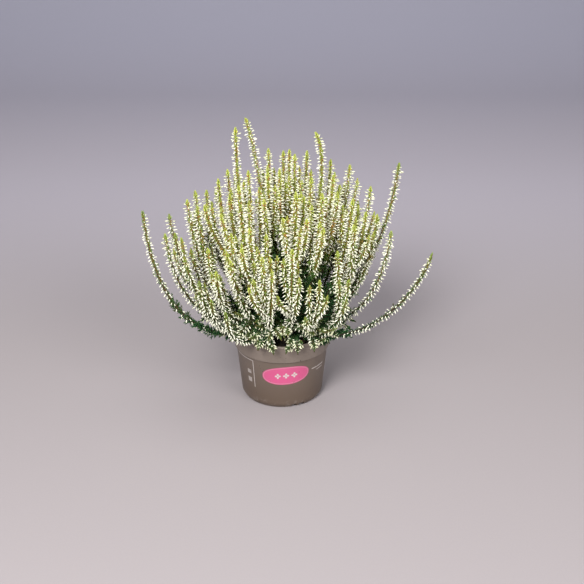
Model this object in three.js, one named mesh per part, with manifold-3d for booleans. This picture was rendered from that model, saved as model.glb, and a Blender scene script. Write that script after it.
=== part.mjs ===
// A white bud heather in its nursery pot, in millimetres, +Z up, origin at the middle of the pot's underside.
// The plastic pot has a stepped collar, a thin lip, a raised floor with drain holes and three notches in its foot.
// Peat fills it to just under the lip. Each leafy stem is its own solid: it stands in a plain hole in the peat,
// runs out and up on one curve, often forks once, and carries rings of buds up to a pointed green tip.
import * as THREE from "three";
import { mergeVertices } from "three/addons/utils/BufferGeometryUtils.js";
import Module from "manifold-3d";

const wasm = await Module();
wasm.setup();

// Pot
const POT_HEIGHT = 86.6;
const LIP_RADIUS = 58.4;
const LIP_HEIGHT = 2.6;
const COLLAR_RADIUS = 57.2;
const COLLAR_HEIGHT = 21.8;
const COLLAR_TAPER = 1.4;
const COLLAR_STEP = 2.1;
const INNER_STEP_RISE = 1.4;
const BODY_BOTTOM_RADIUS = 47.9;
const FOOT_RADIUS = 44.8;
const FOOT_ROUND = 5.5;
const FOOT_WIDTH = 2.2;
const WALL = 1.3;
const FLOOR_LIFT = 3.4;
const MIDDLE_RADIUS = 14;
const POT_SIDES = 36;
const PEAT_SIDES = 18;
const DRAIN_COUNT = 6;
const DRAIN_RADIUS = 4;
const DRAIN_CIRCLE = 29;
const NOTCH_COUNT = 3;
const NOTCH_WIDTH = 16;
const NOTCH_HEIGHT = 3.2;
const NOTCH_RIB = 2.4;
const NOTCH_FIRST_DEG = 24;

// Peat
const CLEARANCE = 0.4;
const PEAT_EDGE = 74;
const PEAT_CROWN = 2.5;
const PEAT_BUMP = 0.8;
const HOLE_DEPTH = 11;

// Stems and buds
const STEM_RADIUS = 1.5;
const STEM_TIP_RADIUS = 1;
const STEM_SIDES = 4;
const HOLE_SIDES = 5;
const UPRIGHT_TO = 90;
const ROOT_SHARE = 0.36;
const SPRIG_ROOT_SHARE = 0.62;
const SPRIG_HEIGHT = 125;
const ROOT_SPACING = 9;
const ROOT_LIMIT = 42;
const FORK_AT = 0.34;
const BUD_REACH = 7.4;
const BUD_STEP = 8.4;
const BUD_RISE = 2.6;
const LEAF_REACH = 5.4;
const LEAF_STEP = 12;
const BARE_LENGTH = 9;
const FLOWERING_SHARE = 0.66;
const TIP_LENGTH = 12;
const TIP_REACH = 2.2;
const TURN_JITTER = 0.5;
const NEIGHBOUR_GAP = 1;

// Each leafy stem: where its tip is, how far it runs out flat before it turns up (0 to 1), and the tip of its fork.
// The outlying ones have a root and two places that pull the curve (via) instead.
const STEMS = [
  { tip: [-149, -44, 246], root: [-36, -20], via: [[-94, -52, 86], [-142, -46, 130]] },
  { tip: [-128, -30, 214], run: 0.85 },
  { tip: [-128, 15, 220], run: 0.75, fork: [-120, -4, 204] },
  { tip: [-110, -32, 210], run: 0.8 },
  { tip: [-105, -3, 244], run: 0.75 },
  { tip: [-97, 12, 249], run: 0.7, fork: [-86, 34, 242] },
  { tip: [-71, 15, 262], run: 0.6, fork: [-86, 0, 236] },
  { tip: [-62, 42, 264], run: 0.5, fork: [-76, 44, 240] },
  { tip: [-57, -8, 252], run: 0.5 },
  { tip: [-50, 12, 322], root: [-20, 4], via: [[-42, 6, 160], [-51, 12, 250]] },
  { tip: [-40, 28, 329], root: [-6, 14], via: [[-14, 12, 170], [-21, 26, 265]] },
  { tip: [-46, -25, 268], run: 0.5, fork: [-66, -28, 236] },
  { tip: [-36, -10, 280], run: 0.45 },
  { tip: [-90, -60, 170], run: 0.95, fork: [-76, -74, 154] },
  { tip: [-80, -48, 204], run: 0.8, fork: [-70, -70, 186] },
  { tip: [-60, -88, 146], run: 1 },
  { tip: [-54, -50, 222], run: 0.7, fork: [-54, -72, 200] },
  { tip: [-34, -48, 228], run: 0.6, fork: [-42, -68, 212] },
  { tip: [-16, -52, 222], run: 0.6 },
  { tip: [-20, -76, 206], run: 0.8, fork: [-34, -90, 176] },
  { tip: [12, -74, 214], run: 0.8, fork: [-4, -94, 168] },
  { tip: [-15, 8, 272], run: 0.3, fork: [-19, -20, 250] },
  { tip: [-15, 38, 290], run: 0.3 },
  { tip: [2, 52, 283], run: 0.3 },
  { tip: [-2, 14, 274], run: 0.2 },
  { tip: [15, 33, 285], run: 0.3, fork: [9, 48, 286] },
  { tip: [16, -26, 261], run: 0.4, fork: [2, -40, 236] },
  { tip: [29, 46, 285], run: 0.4 },
  { tip: [25, -10, 250], run: 0.3, fork: [28, -42, 236] },
  { tip: [34, 10, 265], run: 0.3 },
  { tip: [37, 24, 313], root: [16, 12], via: [[34, 14, 170], [58, 26, 282]] },
  { tip: [45, -22, 258], run: 0.5, fork: [46, -44, 226] },
  { tip: [56, 42, 276], run: 0.5 },
  { tip: [58, 10, 268], run: 0.5, fork: [62, -8, 254] },
  { tip: [78, 44, 269], run: 0.6, fork: [72, 62, 236] },
  { tip: [66, 24, 252], run: 0.5 },
  { tip: [80, 4, 242], run: 0.6 },
  { tip: [101, 24, 250], run: 0.65, fork: [88, 42, 226] },
  { tip: [94, -8, 231], run: 0.7, fork: [80, -24, 222] },
  { tip: [108, 6, 223], run: 0.75 },
  { tip: [121, -30, 217], run: 0.8 },
  { tip: [133, 32, 275], run: 0.6 },
  { tip: [164, -62, 205], root: [38, -18], via: [[68, -60, 86], [142, -64, 128]] },
  { tip: [42, -70, 176], run: 0.9, fork: [26, -92, 142] },
  { tip: [74, -56, 170], run: 0.9, fork: [62, -36, 196] },
  { tip: [-84, 74, 214], run: 0.7, fork: [-104, 62, 196] },
  { tip: [-52, 84, 232], run: 0.6, fork: [-66, 104, 190] },
  { tip: [-18, 82, 246], run: 0.55, fork: [-32, 104, 206] },
  { tip: [16, 92, 238], run: 0.6, fork: [4, 114, 196] },
  { tip: [48, 82, 240], run: 0.6, fork: [40, 108, 200] },
  { tip: [86, 80, 216], run: 0.7, fork: [68, 100, 194] },
  { tip: [114, 58, 200], run: 0.85 },
  { tip: [-53, -54, 104], run: 0.8 },
  { tip: [-26, -72, 103], run: 0.8, fork: [-11, -72, 97] },
  { tip: [22, -74, 104], run: 0.8, fork: [5, -75, 97] },
  { tip: [48, -64, 101], run: 0.8, fork: [36, -69, 97] },
  { tip: [-40, 68, 106], run: 0.8 },
  { tip: [38, 70, 106], run: 0.8 },
];

const MATERIALS = {
  pot: new THREE.MeshStandardMaterial({ color: 0x7d6d60, roughness: 0.5, metalness: 0 }),
  peat: new THREE.MeshStandardMaterial({ color: 0x2a1f17, roughness: 0.95, metalness: 0 }),
  shoot: new THREE.MeshStandardMaterial({ color: 0xc9cfa4, roughness: 0.6, metalness: 0 }),
  sprig: new THREE.MeshStandardMaterial({ color: 0x3f6b34, roughness: 0.6, metalness: 0 }),
};

// Steady random numbers from 0 to 1, the same on every run.
function makeRandom(seed) {
  let state = seed;
  return () => {
    state = (state * 1664525 + 1013904223) % 4294967296;
    return state / 4294967296;
  };
}

const mix = (a, b, share) => a + (b - a) * share;

// Solids and meshes
function solidFrom(geometry) {
  const bare = new THREE.BufferGeometry().setAttribute("position", geometry.getAttribute("position"));
  if (geometry.index) bare.setIndex(geometry.index);
  const merged = mergeVertices(bare, 1e-4);
  return new wasm.Manifold(
    new wasm.Mesh({
      numProp: 3,
      vertProperties: new Float32Array(merged.attributes.position.array),
      triVerts: new Uint32Array(merged.index.array),
    }),
  );
}

function geometryFrom(solid) {
  const mesh = solid.getMesh();
  const position = new THREE.BufferAttribute(new Float32Array(mesh.vertProperties), 3);
  const geometry = new THREE.BufferGeometry().setAttribute("position", position);
  return geometry.setIndex(new THREE.BufferAttribute(new Uint32Array(mesh.triVerts), 1));
}

function named(name, solid, material) {
  const mesh = new THREE.Mesh(geometryFrom(solid), material);
  mesh.name = name;
  return mesh;
}

function lathe(profile, sides) {
  const points = profile.map(([radius, z]) => new THREE.Vector2(radius, z));
  return new THREE.LatheGeometry(points, sides).rotateX(Math.PI / 2);
}

function prism(sides, radius, height, x, y, z, turn = 0) {
  const shape = new THREE.CylinderGeometry(radius, radius, height, sides, 1);
  return solidFrom(shape.rotateX(Math.PI / 2).rotateZ(turn).translate(x, y, z + height / 2));
}

// The pot: an outline of its wall, turned about Z, then cut for drains and notches
const STEP_Z = POT_HEIGHT - COLLAR_HEIGHT;
const STEP_RADIUS = COLLAR_RADIUS - COLLAR_TAPER;
const BODY_TOP_RADIUS = STEP_RADIUS - COLLAR_STEP;
const FLOOR_TOP = FLOOR_LIFT + WALL;
const INNER_FLOOR_RADIUS = BODY_BOTTOM_RADIUS - WALL - 0.6;

function innerRadius(z) {
  if (z > STEP_Z + INNER_STEP_RISE) return mix(STEP_RADIUS, COLLAR_RADIUS, (z - STEP_Z) / COLLAR_HEIGHT) - WALL;
  const share = (z - FLOOR_TOP) / (STEP_Z - FLOOR_TOP);
  return mix(INNER_FLOOR_RADIUS, BODY_TOP_RADIUS - WALL, share);
}

function makePot() {
  const lipBottom = POT_HEIGHT - LIP_HEIGHT;
  const slope = 2;
  const edge = 0.7;
  const outline = [
    [0, 0],
    [MIDDLE_RADIUS, 0],
    [MIDDLE_RADIUS + slope, FLOOR_LIFT],
    [FOOT_RADIUS - FOOT_WIDTH - slope, FLOOR_LIFT],
    [FOOT_RADIUS - FOOT_WIDTH, 0],
    [FOOT_RADIUS, 0],
    [mix(FOOT_RADIUS, BODY_BOTTOM_RADIUS, 0.7), FOOT_ROUND * 0.35],
    [BODY_BOTTOM_RADIUS, FOOT_ROUND],
    [BODY_TOP_RADIUS, STEP_Z - 0.6],
    [STEP_RADIUS, STEP_Z],
    [COLLAR_RADIUS, lipBottom],
    [LIP_RADIUS, lipBottom + 0.4],
    [LIP_RADIUS, POT_HEIGHT - edge],
    [LIP_RADIUS - edge, POT_HEIGHT],
    [COLLAR_RADIUS - WALL + edge, POT_HEIGHT],
    [COLLAR_RADIUS - WALL, POT_HEIGHT - edge],
    [innerRadius(STEP_Z + INNER_STEP_RISE + 0.01), STEP_Z + INNER_STEP_RISE],
    [innerRadius(STEP_Z), STEP_Z + INNER_STEP_RISE - 0.6],
    [INNER_FLOOR_RADIUS, FLOOR_TOP],
    [MIDDLE_RADIUS + slope - 0.6, FLOOR_TOP],
    [MIDDLE_RADIUS - 0.6, WALL],
    [0, WALL],
  ];
  let pot = solidFrom(lathe(outline, POT_SIDES));
  for (let i = 0; i < DRAIN_COUNT; i++) {
    const angle = (i / DRAIN_COUNT) * 2 * Math.PI;
    const x = DRAIN_CIRCLE * Math.cos(angle);
    const y = DRAIN_CIRCLE * Math.sin(angle);
    pot = pot.subtract(prism(8, DRAIN_RADIUS, 8, x, y, 0));
  }
  for (let i = 0; i < NOTCH_COUNT; i++) {
    const angle = THREE.MathUtils.degToRad(NOTCH_FIRST_DEG - 90) + (i / NOTCH_COUNT) * 2 * Math.PI;
    for (const side of [-1, 1]) {
      const width = (NOTCH_WIDTH - NOTCH_RIB) / 2;
      const box = new THREE.BoxGeometry(10, width, NOTCH_HEIGHT * 2);
      box.translate(FOOT_RADIUS, (side * (width + NOTCH_RIB)) / 2, 0).rotateZ(angle);
      pot = pot.subtract(solidFrom(box));
    }
  }
  return named("pot", pot, MATERIALS.pot);
}

// The stems' curves
const peatTop = (x, y) => PEAT_EDGE + PEAT_CROWN * (1 - Math.hypot(x, y) / innerRadius(PEAT_EDGE));
const isSprig = (stem) => stem.tip[2] < SPRIG_HEIGHT;

// Roots lie under their tips, drawn in to the middle, then pushed apart until each has its own place.
function rootPlaces() {
  const places = STEMS.map((stem) => {
    if (stem.root) return new THREE.Vector2(...stem.root);
    const share = isSprig(stem) ? SPRIG_ROOT_SHARE : ROOT_SHARE;
    return new THREE.Vector2(stem.tip[0] * share, stem.tip[1] * share).clampLength(0, ROOT_LIMIT);
  });
  for (let round = 0; round < 200; round++) {
    places.forEach((a, i) =>
      places.slice(i + 1).forEach((b) => {
        const apart = b.clone().sub(a);
        const distance = Math.max(apart.length(), 1e-6);
        if (distance >= ROOT_SPACING) return;
        apart.multiplyScalar((ROOT_SPACING - distance) / distance / 2);
        a.sub(apart);
        b.add(apart);
      }),
    );
    places.forEach((a) => a.clampLength(0, ROOT_LIMIT));
  }
  return places;
}

function mainCurve(stem, root) {
  const tip = new THREE.Vector3(...stem.tip);
  const start = new THREE.Vector3(root.x, root.y, UPRIGHT_TO);
  if (stem.via) {
    return new THREE.CubicBezierCurve3(start, ...stem.via.map((place) => new THREE.Vector3(...place)), tip);
  }
  const way = tip.clone().sub(start);
  const rise = way.z;
  const flat = way.clone().setZ(0);
  const first = start.clone().addScaledVector(flat, mix(0.2, 0.62, stem.run));
  first.z += rise * mix(0.36, 0.02, stem.run);
  const second = tip.clone().addScaledVector(flat, -mix(0.2, 0.06, stem.run));
  second.z -= rise * mix(0.4, 0.72, stem.run);
  return new THREE.CubicBezierCurve3(start, first, second, tip);
}

function forkCurve(stem, main) {
  const start = main.getPointAt(FORK_AT);
  const along = main.getTangentAt(FORK_AT);
  const tip = new THREE.Vector3(...stem.fork);
  const length = tip.distanceTo(start);
  const first = start.clone().addScaledVector(along, length * 0.3);
  const second = tip.clone().addScaledVector(tip.clone().sub(start), -0.1);
  second.z -= length * 0.3;
  return new THREE.CubicBezierCurve3(start, first, second, tip);
}

const roots = rootPlaces();
const curves = STEMS.map((stem, i) => {
  const main = mainCurve(stem, roots[i]);
  return stem.fork ? [main, forkCurve(stem, main)] : [main];
});
const lines = curves.map((own) => own.flatMap((curve) => curve.getSpacedPoints(40)));

// A bud keeps off the pot, the peat and every other stem's line.
function isFree(point, owner, reach) {
  const radius = Math.hypot(point.x, point.y);
  if (point.z < PEAT_EDGE + PEAT_CROWN + PEAT_BUMP + 1.2) return false;
  if (point.z < POT_HEIGHT + 1.2 && radius > COLLAR_RADIUS - WALL - 2.5) return false;
  return lines.every((line, i) => {
    if (i === owner) return true;
    return line.every((place) => place.distanceTo(point) > reach + NEIGHBOUR_GAP);
  });
}

// The rings of one spike: how far along its curve each one is, and how far its leaves or buds reach out and up.
function spikeRings(length, bare, forkAt, random) {
  const leafyTo = length * (1 - FLOWERING_SHARE);
  const rings = [{ at: 0, reach: 0, rise: 0 }];
  for (let at = bare; at < length - TIP_LENGTH - BUD_STEP * 0.4; ) {
    const leafy = at < leafyTo;
    const reach = (leafy ? LEAF_REACH : BUD_REACH) * mix(0.86, 1.08, random());
    rings.push({ at, reach, rise: leafy ? 0.4 : BUD_RISE * mix(0, 1, at / length) });
    at += leafy ? LEAF_STEP : BUD_STEP;
  }
  if (forkAt) {
    const nearest = rings.slice(1).sort((a, b) => Math.abs(a.at - forkAt) - Math.abs(b.at - forkAt))[0];
    nearest.at = forkAt;
  }
  rings.push({ at: length - TIP_LENGTH, reach: TIP_REACH * 1.7, rise: 1.5 });
  rings.push({ at: length - TIP_LENGTH * 0.5, reach: TIP_REACH, rise: 1 });
  return rings;
}

// Frames that don't twist along a curve: each is the last one turned to the new direction.
function framesAlong(curve, shares) {
  const normal = new THREE.Vector3(0, 1, 0);
  let last = null;
  return shares.map((share) => {
    const along = curve.getTangentAt(share);
    if (last) normal.applyQuaternion(new THREE.Quaternion().setFromUnitVectors(last, along));
    normal.addScaledVector(along, -normal.dot(along)).normalize();
    last = along;
    const side = new THREE.Vector3().crossVectors(along, normal);
    return { centre: curve.getPointAt(share), along, normal: normal.clone(), side };
  });
}

// The corners of one ring. Two opposite corners reach out as far as there is room, the other two stay on the stem.
function ringCorners(frame, turn, radius, ring, owner) {
  const corners = [];
  for (let side = 0; side < STEM_SIDES; side++) {
    const angle = turn + (side / STEM_SIDES) * 2 * Math.PI;
    const out = frame.normal.clone().multiplyScalar(Math.cos(angle)).addScaledVector(frame.side, Math.sin(angle));
    const corner = frame.centre.clone().addScaledVector(out, radius);
    if (side % 2 === ring.first) {
      for (let reach = ring.reach; reach > radius; reach -= 0.4) {
        const place = frame.centre.clone().addScaledVector(out, reach).addScaledVector(frame.along, ring.rise);
        if (!isFree(place, owner, reach)) continue;
        corner.copy(place);
        break;
      }
    }
    corners.push(corner);
  }
  return corners;
}

// A closed skin over rings of corners, from a point in the middle of the first ring to the tip.
function skin(rings, tip) {
  const corners = rings.flat();
  const base = new THREE.Vector3();
  rings[0].forEach((corner) => base.addScaledVector(corner, 1 / STEM_SIDES));
  const baseIndex = corners.push(base) - 1;
  const tipIndex = corners.push(tip) - 1;
  const lastRing = (rings.length - 1) * STEM_SIDES;
  const faces = [];
  for (let side = 0; side < STEM_SIDES; side++) {
    const next = (side + 1) % STEM_SIDES;
    faces.push(baseIndex, next, side, tipIndex, lastRing + side, lastRing + next);
    for (let from = 0; from < lastRing; from += STEM_SIDES) {
      const [a, b, c, d] = [from + side, from + next, from + STEM_SIDES + side, from + STEM_SIDES + next];
      const straight = corners[a].distanceTo(corners[d]) < corners[b].distanceTo(corners[c]);
      faces.push(...(straight ? [a, b, d, a, d, c] : [a, b, c, b, d, c]));
    }
  }
  return solidFrom(new THREE.BufferGeometry().setFromPoints(corners).setIndex(faces));
}

// One spike, either standing in the peat at a root or forking off another spike
function spikeSolid(curve, owner, root, forkAt, random) {
  const length = curve.getLength();
  const turn = random() * Math.PI;
  const rings = spikeRings(length, root ? BARE_LENGTH : 7, forkAt, random);
  const frames = framesAlong(curve, rings.map((ring) => ring.at / length));
  const corners = [];
  if (root) {
    const foot = new THREE.Vector3(root.x, root.y, peatTop(root.x, root.y) - HOLE_DEPTH);
    const level = { normal: new THREE.Vector3(0, 1, 0), side: new THREE.Vector3(-1, 0, 0) };
    corners.push(ringCorners({ ...level, centre: foot }, turn, STEM_RADIUS, {}, owner));
    corners.push(ringCorners({ ...level, centre: frames[0].centre }, turn, STEM_RADIUS, {}, owner));
  } else {
    corners.push(ringCorners(frames[0], turn, STEM_RADIUS * 0.6, {}, owner));
  }
  rings.slice(1).forEach((ring, i) => {
    const radius = mix(STEM_RADIUS, STEM_TIP_RADIUS, ring.at / length);
    const spin = turn + TURN_JITTER * (random() - 0.5);
    corners.push(ringCorners(frames[i + 1], spin, radius, { ...ring, first: i % 2 }, owner));
  });
  return skin(corners, curve.getPointAt(1));
}

function makeShoot(index) {
  const random = makeRandom(index + 1);
  const [main, fork] = curves[index];
  let solid = spikeSolid(main, index, roots[index], fork && main.getLength() * FORK_AT, random);
  if (fork) solid = solid.add(spikeSolid(fork, index, null, 0, random));
  const name = `shoot_${String(index + 1).padStart(2, "0")}`;
  return named(name, solid, isSprig(STEMS[index]) ? MATERIALS.sprig : MATERIALS.shoot);
}

// The peat: fills the pot with a little air round it, bumpy on top, with a hole for each stem
function makePeat() {
  const top = innerRadius(PEAT_EDGE) - CLEARANCE;
  const outline = [
    [0, FLOOR_TOP + CLEARANCE],
    [INNER_FLOOR_RADIUS - CLEARANCE - 0.3, FLOOR_TOP + CLEARANCE],
    [innerRadius(STEP_Z) - CLEARANCE, STEP_Z - 1.2],
    [innerRadius(STEP_Z) - CLEARANCE, STEP_Z + 1],
    [top, PEAT_EDGE],
  ];
  for (const share of [0.8, 0.55, 0.3]) outline.push([top * share, PEAT_EDGE + PEAT_CROWN * (1 - share)]);
  outline.push([0, PEAT_EDGE + PEAT_CROWN]);
  const geometry = lathe(outline, PEAT_SIDES);
  const position = geometry.getAttribute("position");
  for (let i = 0; i < position.count; i++) {
    const [x, y, z] = [position.getX(i), position.getY(i), position.getZ(i)];
    if (z < PEAT_EDGE + 0.1) continue;
    const bump = Math.sin(x * 0.31 + 1) * Math.cos(y * 0.27) + Math.sin(x * 0.13 - y * 0.19);
    position.setZ(i, z + (PEAT_BUMP * bump) / 2);
  }
  let peat = solidFrom(geometry);
  const holeRadius = (STEM_RADIUS + CLEARANCE) / Math.cos(Math.PI / HOLE_SIDES);
  roots.forEach((root) => {
    const bottom = peatTop(root.x, root.y) - HOLE_DEPTH - CLEARANCE;
    peat = peat.subtract(prism(HOLE_SIDES, holeRadius, 30, root.x, root.y, bottom));
  });
  return named("peat", peat, MATERIALS.peat);
}

const heather = new THREE.Group();
heather.add(makePot(), makePeat());
STEMS.forEach((stem, index) => heather.add(makeShoot(index)));

export default heather;
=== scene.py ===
"""White bud heather in its nursery pot, laid out as an add-on and run as a script.

Each leafy stem grows on the same curve as its solid in the frame: bark, scale leaves, leafy twigs low
down, ranks of closed buds and a green growing tip. The pot is a turned shell with a printed label, and
crumbly peat fills it. Lengths in the tables are in millimetres, and meshes are in metres.
"""

import math
import random
from typing import NamedTuple

import bmesh
import bpy
import numpy as np
from bpy.props import FloatProperty, FloatVectorProperty, IntProperty, PointerProperty
from mathutils import Euler, Matrix, Vector, noise
from mathutils.geometry import interpolate_bezier


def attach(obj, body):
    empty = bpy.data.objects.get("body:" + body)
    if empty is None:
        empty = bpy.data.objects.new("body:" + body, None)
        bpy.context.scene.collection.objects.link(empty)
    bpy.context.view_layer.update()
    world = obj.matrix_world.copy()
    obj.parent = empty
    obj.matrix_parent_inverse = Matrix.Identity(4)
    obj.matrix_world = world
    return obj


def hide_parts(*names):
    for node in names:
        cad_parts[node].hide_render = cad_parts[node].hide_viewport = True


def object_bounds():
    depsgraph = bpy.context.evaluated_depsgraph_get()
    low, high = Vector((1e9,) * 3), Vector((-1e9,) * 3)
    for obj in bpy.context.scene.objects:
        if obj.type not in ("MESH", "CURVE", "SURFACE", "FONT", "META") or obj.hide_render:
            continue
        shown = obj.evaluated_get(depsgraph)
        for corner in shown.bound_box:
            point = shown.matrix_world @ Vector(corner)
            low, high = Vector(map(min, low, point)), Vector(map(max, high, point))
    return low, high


bl_info = {
    "name": "Potted heather",
    "version": (1, 0, 0),
    "blender": (4, 5, 0),
    "location": "View3D > Sidebar > Heather",
    "description": "Builds a white bud heather in its nursery pot round a packed frame",
    "category": "Add Mesh",
}

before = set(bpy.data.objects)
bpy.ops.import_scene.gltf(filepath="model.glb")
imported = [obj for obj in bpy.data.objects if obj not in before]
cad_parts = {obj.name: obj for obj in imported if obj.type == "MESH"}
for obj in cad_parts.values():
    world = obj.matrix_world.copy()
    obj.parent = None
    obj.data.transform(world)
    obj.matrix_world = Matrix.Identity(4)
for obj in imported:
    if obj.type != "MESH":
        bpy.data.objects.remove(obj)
FRAME_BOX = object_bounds()

MM = 0.001


class Stem(NamedTuple):
    """A stem as the solids have it, in millimetres.

    run says how far it runs out flat before it turns up (0 to 1), and fork is the tip of its fork. The outlying
    stems have a root and two places that pull the curve (via) instead, and some have their own leafy share.
    """

    tip: tuple
    run: float = 0
    fork: tuple = None
    root: tuple = None
    via: list = None
    leafy: float = None


STEMS = [
    Stem((-149, -44, 246), root=(-36, -20), via=[(-94, -52, 86), (-142, -46, 130)], leafy=0.5),
    Stem((-128, -30, 214), 0.85),
    Stem((-128, 15, 220), 0.75, (-120, -4, 204)),
    Stem((-110, -32, 210), 0.8),
    Stem((-105, -3, 244), 0.75),
    Stem((-97, 12, 249), 0.7, (-86, 34, 242)),
    Stem((-71, 15, 262), 0.6, (-86, 0, 236)),
    Stem((-62, 42, 264), 0.5, (-76, 44, 240)),
    Stem((-57, -8, 252), 0.5),
    Stem((-50, 12, 322), root=(-20, 4), via=[(-42, 6, 160), (-51, 12, 250)]),
    Stem((-40, 28, 329), root=(-6, 14), via=[(-14, 12, 170), (-21, 26, 265)]),
    Stem((-46, -25, 268), 0.5, (-66, -28, 236)),
    Stem((-36, -10, 280), 0.45),
    Stem((-90, -60, 170), 0.95, (-76, -74, 154)),
    Stem((-80, -48, 204), 0.8, (-70, -70, 186)),
    Stem((-60, -88, 146), 1),
    Stem((-54, -50, 222), 0.7, (-54, -72, 200)),
    Stem((-34, -48, 228), 0.6, (-42, -68, 212)),
    Stem((-16, -52, 222), 0.6),
    Stem((-20, -76, 206), 0.8, (-34, -90, 176)),
    Stem((12, -74, 214), 0.8, (-4, -94, 168)),
    Stem((-15, 8, 272), 0.3, (-19, -20, 250)),
    Stem((-15, 38, 290), 0.3),
    Stem((2, 52, 283), 0.3),
    Stem((-2, 14, 274), 0.2),
    Stem((15, 33, 285), 0.3, (9, 48, 286)),
    Stem((16, -26, 261), 0.4, (2, -40, 236)),
    Stem((29, 46, 285), 0.4),
    Stem((25, -10, 250), 0.3, (28, -42, 236)),
    Stem((34, 10, 265), 0.3),
    Stem((37, 24, 313), root=(16, 12), via=[(34, 14, 170), (58, 26, 282)]),
    Stem((45, -22, 258), 0.5, (46, -44, 226)),
    Stem((56, 42, 276), 0.5),
    Stem((58, 10, 268), 0.5, (62, -8, 254)),
    Stem((78, 44, 269), 0.6, (72, 62, 236)),
    Stem((66, 24, 252), 0.5),
    Stem((80, 4, 242), 0.6),
    Stem((101, 24, 250), 0.65, (88, 42, 226)),
    Stem((94, -8, 231), 0.7, (80, -24, 222)),
    Stem((108, 6, 223), 0.75),
    Stem((121, -30, 217), 0.8),
    Stem((133, 32, 275), 0.6),
    Stem((164, -62, 205), root=(38, -18), via=[(68, -60, 86), (142, -64, 128)], leafy=0.25),
    Stem((42, -70, 176), 0.9, (26, -92, 142)),
    Stem((74, -56, 170), 0.9, (62, -36, 196)),
    Stem((-84, 74, 214), 0.7, (-104, 62, 196)),
    Stem((-52, 84, 232), 0.6, (-66, 104, 190)),
    Stem((-18, 82, 246), 0.55, (-32, 104, 206)),
    Stem((16, 92, 238), 0.6, (4, 114, 196)),
    Stem((48, 82, 240), 0.6, (40, 108, 200)),
    Stem((86, 80, 216), 0.7, (68, 100, 194)),
    Stem((114, 58, 200), 0.85),
    Stem((-53, -54, 104), 0.8),
    Stem((-26, -72, 103), 0.8, (-11, -72, 97)),
    Stem((22, -74, 104), 0.8, (5, -75, 97)),
    Stem((48, -64, 101), 0.8, (36, -69, 97)),
    Stem((-40, 68, 106), 0.8),
    Stem((38, 70, 106), 0.8),
]
# Stems that end lower than this are sprays
SPRAY_HEIGHT = 125
# Stems rise straight out of the peat to this height
UPRIGHT_TO = 90
# Where a root lies on the way out to its tip, and how the roots keep apart
ROOT_SHARE = 0.36
SPRAY_ROOT_SHARE = 0.62
ROOT_SPACING = 9
ROOT_LIMIT = 42
FORK_AT = 0.34
# Stems whose tips lie in front of this flower almost down to the peat
FRONT = -20
# Roots within this radius stand in the shade of the others
SHADED_RADIUS = 24
# Side shoots and side spikes: their share of the stem's radius, and of the size of its tip
THIN = 0.6
THIN_TIP = 0.72
# A stem thins as this power of the way along it
TAPER = 0.8
# Where side spikes leave their stem, as shares of its length, and how far from it they run
SPIKE_STARTS = ((0.18, 0.3), (0.34, 0.44), (0.48, 0.6))
SPIKE_GAP = 11
# Stems that end further out have no side spikes, and no side spike ends lower than this
SPIKE_LIMIT = 123
SPIKE_LOWEST = 150
# The plant's middle is too dark for buds: an egg with this middle and these half widths, and its soft edge
SHADE_MIDDLE = (8, 4, 85)
SHADE_SIZE = (62, 40, 112)
SHADE_FROM = 0.88
SHADE_FADE = 0.3
# Leaves are old up to this height and turn new over the rise above it, and newer still close under a tip
NEW_FROM = 95
NEW_RISE = 110
NEW_REACH = 32
# Buds hang up to this height, and over the rise above it they come to stand straight out
HANG_TO = 100
HANG_RISE = 130
# How far a bud's foot stands out from its stem
BUD_STALK = 1.5

# Pot and peat, as the solids have them, but for the foot notches, which are 1 mm higher so that they show
POT_HEIGHT = 86.6
LIP_RADIUS = 58.4
LIP_HEIGHT = 2.6
COLLAR_RADIUS = 57.2
COLLAR_HEIGHT = 21.8
COLLAR_TAPER = 1.4
COLLAR_STEP = 2.1
INNER_STEP_RISE = 1.4
BODY_BOTTOM_RADIUS = 47.9
FOOT_RADIUS = 44.8
FOOT_ROUND = 5.5
FOOT_WIDTH = 2.2
WALL = 1.3
FLOOR_LIFT = 3.4
MIDDLE_RADIUS = 14
DRAIN_COUNT = 6
DRAIN_RADIUS = 4
DRAIN_CIRCLE = 29
NOTCH_COUNT = 3
NOTCH_WIDTH = 16
NOTCH_HEIGHT = 4.2
NOTCH_RIB = 2.4
NOTCH_FIRST_DEG = 24
PEAT_EDGE = 74
PEAT_CROWN = 2.5

# What stays free between a leaf's or bud's end and the frame's box, in metres
ROOM = 0.0006

STEP_Z = POT_HEIGHT - COLLAR_HEIGHT
STEP_RADIUS = COLLAR_RADIUS - COLLAR_TAPER
BODY_TOP_RADIUS = STEP_RADIUS - COLLAR_STEP
FLOOR_TOP = FLOOR_LIFT + WALL
INNER_FLOOR_RADIUS = BODY_BOTTOM_RADIUS - WALL - 0.6
INNER_LIP_RADIUS = COLLAR_RADIUS - WALL

# The print is laid out round the wall at this radius. Its bars and blocks: middle and half size in height, then
# round the wall.
PRINT_RADIUS = 51
PRINT_BARS = [(42.5, 18, -34.5, 0.45), (60.5, 0.45, -49.5, 15), (48.5, 0.7, 47.5, 10.5), (44.5, 0.5, 51, 6)]
PRINT_BLOCKS = [(44, 2.5, -41.5, 3), (33, 3, -41.5, 3)]
LABEL_TILT = 0.06
BLOSSOM_PITCH = 9.5


def mix(low, high, share):
    return low + (high - low) * share


def clamp01(value):
    return min(1.0, max(0.0, value))


def take_mesh(name, bm):
    """Moves a bmesh into a new mesh."""
    mesh = bpy.data.meshes.new(name)
    bm.to_mesh(mesh)
    bm.free()
    return mesh


def add_object(name, data):
    """A new object at the origin, in the scene's own collection."""
    made = bpy.data.objects.new(name, data)
    bpy.context.scene.collection.objects.link(made)
    return made


def smooth_faces(mesh):
    for face in mesh.polygons:
        face.use_smooth = True


def only(items, kind):
    return [item for item in items if isinstance(item, kind)]


# Settings


def length(name, description, millimetres):
    default = millimetres * MM
    return FloatProperty(name=name, description=description, default=default, unit="LENGTH", precision=4)


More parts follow.
